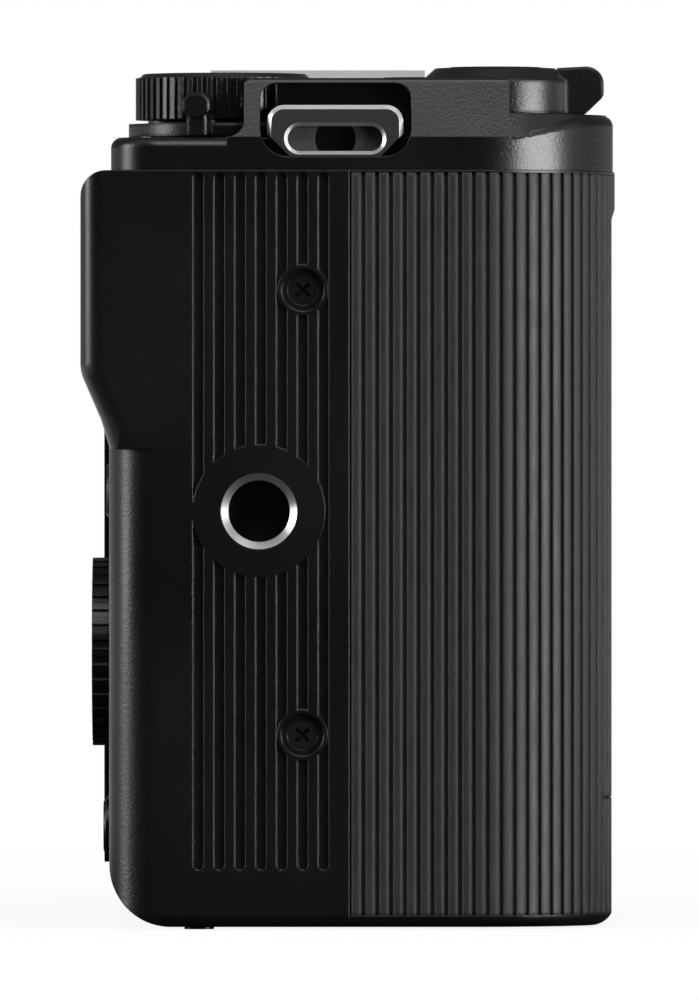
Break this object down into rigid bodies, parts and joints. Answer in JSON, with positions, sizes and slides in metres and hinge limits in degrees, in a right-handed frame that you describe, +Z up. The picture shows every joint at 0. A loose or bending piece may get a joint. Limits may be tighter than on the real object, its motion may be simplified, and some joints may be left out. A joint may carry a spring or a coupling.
{
  "type": "mirrorless camera body",
  "caption": "Compact video style mirrorless camera body with a fluted grip, swing-out monitor, turning dials, zoom ring, pressing buttons and opening doors.",
  "frame": {"origin": "mouth of the base tripod thread, in the plane that the camera stands on, below the optical axis", "axes": "+Z up, -Y towards the lens and the subject, +X away from the grip along the body"},
  "size_m": [0.1193, 0.0452, 0.0737],
  "materials": {
    "cover": "fine sprayed texture, satin black",
    "grip": "matt fluted rubber",
    "door_rubber": "matt rubber",
    "black_screw": "blackened steel",
    "bright_screw": "plain steel",
    "bush": "bright turned steel",
    "lug": "dark plated steel with worn bright edges",
    "dial": "ribbed satin black",
    "control": "satin black",
    "record": "satin black with a red dot",
    "lock": "coloured plastic",
    "shoe": "bent steel sheet",
    "black_metal": "black coated steel",
    "gold": "gold plated",
    "mount": "turned bright steel",
    "lamp": "dark red clear plastic",
    "inner_black": "flocked black",
    "frame_alloy": "die cast alloy",
    "blade": "black lacquered sheet",
    "filter_glass": "coated filter glass",
    "sensor": "sensor surface",
    "board": "circuit board",
    "battery": "moulded plastic case",
    "tin": "pressed tin plate",
    "screen_glass": "dark screen glass",
    "panel": "display panel"
  },
  "bodies": {
    "body": {"audio_jacks": "inner_black", "base_cover": "cover", "base_tripod_bush": "bush", "battery": "battery", "battery_box": "inner_black", "card_socket": "tin", "chassis": "frame_alloy", "cover_screws": "black_screw", "data_ports": "tin", "front_cover": "cover", "grip_rubber": "grip", "heat_plate": "frame_alloy", "hinge_pins": "bright_screw", "image_sensor": "sensor", "lens_mount_ring": "mount", "light_box": "inner_black", "main_board": "board", "memory_card": "battery", "microphones": "tin", "monitor_hinge_bracket": "black_metal", "mount_contacts": "gold", "mount_screws": "bright_screw", "rear_cover": "cover", "sensor_frame": "frame_alloy", "sensor_glass": "filter_glass", "shoe_base": "black_metal", "shoe_contacts": "gold", "shoe_rails": "shoe", "shutter_frame": "inner_black", "side_tripod_bush": "bush", "strap_lugs": "lug", "tally_lens": "lamp", "top_cover": "cover"},
    "main_dial": {"main_dial": "dial"},
    "power_lever": {"power_lever": "control"},
    "mode_dial": {"mode_dial": "dial"},
    "zoom_ring": {"zoom_ring": "control"},
    "shutter_button": {"shutter_button": "control"},
    "record_button": {"record_button": "record"},
    "front_record_button": {"front_record_button": "record"},
    "release_button": {"release_button": "control"},
    "lock_pin": {"lock_pin": "bright_screw"},
    "rear_dial": {"rear_dial": "dial"},
    "set_button": {"set_button": "control"},
    "menu_button": {"menu_button": "control"},
    "play_button": {"play_button": "control"},
    "delete_button": {"delete_button": "control"},
    "monitor": {"monitor_housing": "cover", "monitor_glass": "screen_glass", "lcd_panel": "panel", "monitor_hinge_arm": "black_metal"},
    "battery_door": {"battery_door": "cover"},
    "door_latch": {"door_latch": "control"},
    "battery_lock": {"battery_lock": "lock"},
    "audio_door": {"audio_door": "door_rubber"},
    "data_door": {"data_door": "door_rubber"},
    "shutter_blade_1": {"shutter_blade_1": "blade"},
    "shutter_blade_2": {"shutter_blade_2": "blade"},
    "shutter_blade_3": {"shutter_blade_3": "blade"}
  },
  "joints": [
    {"name": "main_dial_turn", "type": "hinge", "parent": "body", "child": "main_dial", "pos_m": [-0.0575, 0.00296, 0.07], "axis": [0, 0, 1], "continuous": true},
    {"name": "power_lever_turn", "type": "hinge", "parent": "body", "child": "power_lever", "pos_m": [-0.0575, 0.00296, 0.0675], "axis": [0, 0, 1], "range_deg": [-40, 0]},
    {"name": "mode_dial_turn", "type": "hinge", "parent": "body", "child": "mode_dial", "pos_m": [-0.031, 0.0015, 0.07], "axis": [0, 0, 1], "continuous": true},
    {"name": "zoom_ring_turn", "type": "hinge", "parent": "body", "child": "zoom_ring", "pos_m": [-0.055, -0.02, 0.07], "axis": [0, 0, 1], "range_deg": [-13, 13], "stiffness_Nm_per_rad": 0.02},
    {"name": "shutter_press", "type": "slide", "parent": "body", "child": "shutter_button", "axis": [0, 0, -1], "range_m": [0, 0.0008], "stiffness_N_per_m": 900, "springref_m": -0.0005},
    {"name": "record_press", "type": "slide", "parent": "body", "child": "record_button", "axis": [0, 0, -1], "range_m": [0, 0.0005], "stiffness_N_per_m": 900, "springref_m": -0.0005},
    {"name": "front_record_press", "type": "slide", "parent": "body", "child": "front_record_button", "axis": [0, 1, 0], "range_m": [0, 0.0005], "stiffness_N_per_m": 900, "springref_m": -0.0005},
    {"name": "release_press", "type": "slide", "parent": "body", "child": "release_button", "axis": [0, 1, 0], "range_m": [0, 0.002], "stiffness_N_per_m": 900, "springref_m": -0.0005},
    {"name": "lock_pin_draw", "type": "slide", "parent": "body", "child": "lock_pin", "axis": [0, 1, 0], "range_m": [0, 0.0022]},
    {"name": "rear_dial_turn", "type": "hinge", "parent": "body", "child": "rear_dial", "pos_m": [-0.05, 0.013, 0.0233], "axis": [0, 1, 0], "continuous": true},
    {"name": "set_press", "type": "slide", "parent": "body", "child": "set_button", "axis": [0, -1, 0], "range_m": [0, 0.0005], "stiffness_N_per_m": 900, "springref_m": -0.0005},
    {"name": "menu_press", "type": "slide", "parent": "body", "child": "menu_button", "axis": [0, -1, 0], "range_m": [0, 0.0004], "stiffness_N_per_m": 900, "springref_m": -0.0005},
    {"name": "play_press", "type": "slide", "parent": "body", "child": "play_button", "axis": [0, -1, 0], "range_m": [0, 0.0004], "stiffness_N_per_m": 900, "springref_m": -0.0005},
    {"name": "delete_press", "type": "slide", "parent": "body", "child": "delete_button", "axis": [0, -1, 0], "range_m": [0, 0.0004], "stiffness_N_per_m": 900, "springref_m": -0.0005},
    {"name": "monitor_swing", "type": "hinge", "parent": "body", "child": "monitor", "pos_m": [0.0482, 0.011, 0.0315], "axis": [0, 0, -1], "range_deg": [0, 175]},
    {"name": "battery_door_open", "type": "hinge", "parent": "body", "child": "battery_door", "pos_m": [-0.0376, -0.0054, 0.0011], "axis": [0, -1, 0], "range_deg": [0, 90]},
    {"name": "door_latch_slide", "type": "slide", "parent": "battery_door", "child": "door_latch", "axis": [1, 0, 0], "range_m": [0, 0.0025]},
    {"name": "battery_lock_slide", "type": "slide", "parent": "body", "child": "battery_lock", "axis": [0, 1, 0], "range_m": [0, 0.001], "stiffness_N_per_m": 400, "springref_m": -0.0005},
    {"name": "audio_door_open", "type": "hinge", "parent": "body", "child": "audio_door", "pos_m": [0.0503, -0.0056, 0.0445], "axis": [0, 0, -1], "range_deg": [0, 90]},
    {"name": "data_door_open", "type": "hinge", "parent": "body", "child": "data_door", "pos_m": [0.0503, -0.0056, 0.0185], "axis": [0, 0, -1], "range_deg": [0, 90]},
    {"name": "shutter_blade_1_run", "type": "slide", "parent": "body", "child": "shutter_blade_1", "axis": [0, 0, 1], "range_m": [0, 0.0183]},
    {"name": "shutter_blade_2_run", "type": "slide", "parent": "body", "child": "shutter_blade_2", "axis": [0, 0, 1], "range_m": [0, 0.0122]},
    {"name": "shutter_blade_3_run", "type": "slide", "parent": "body", "child": "shutter_blade_3", "axis": [0, 0, 1], "range_m": [0, 0.0061]}
  ],
  "couplings": [
    {"joint": "lock_pin_draw", "follows": "release_press", "ratio": 1.1},
    {"joint": "shutter_blade_2_run", "follows": "shutter_blade_1_run", "ratio": 0.66666},
    {"joint": "shutter_blade_3_run", "follows": "shutter_blade_1_run", "ratio": 0.33333}
  ]
}
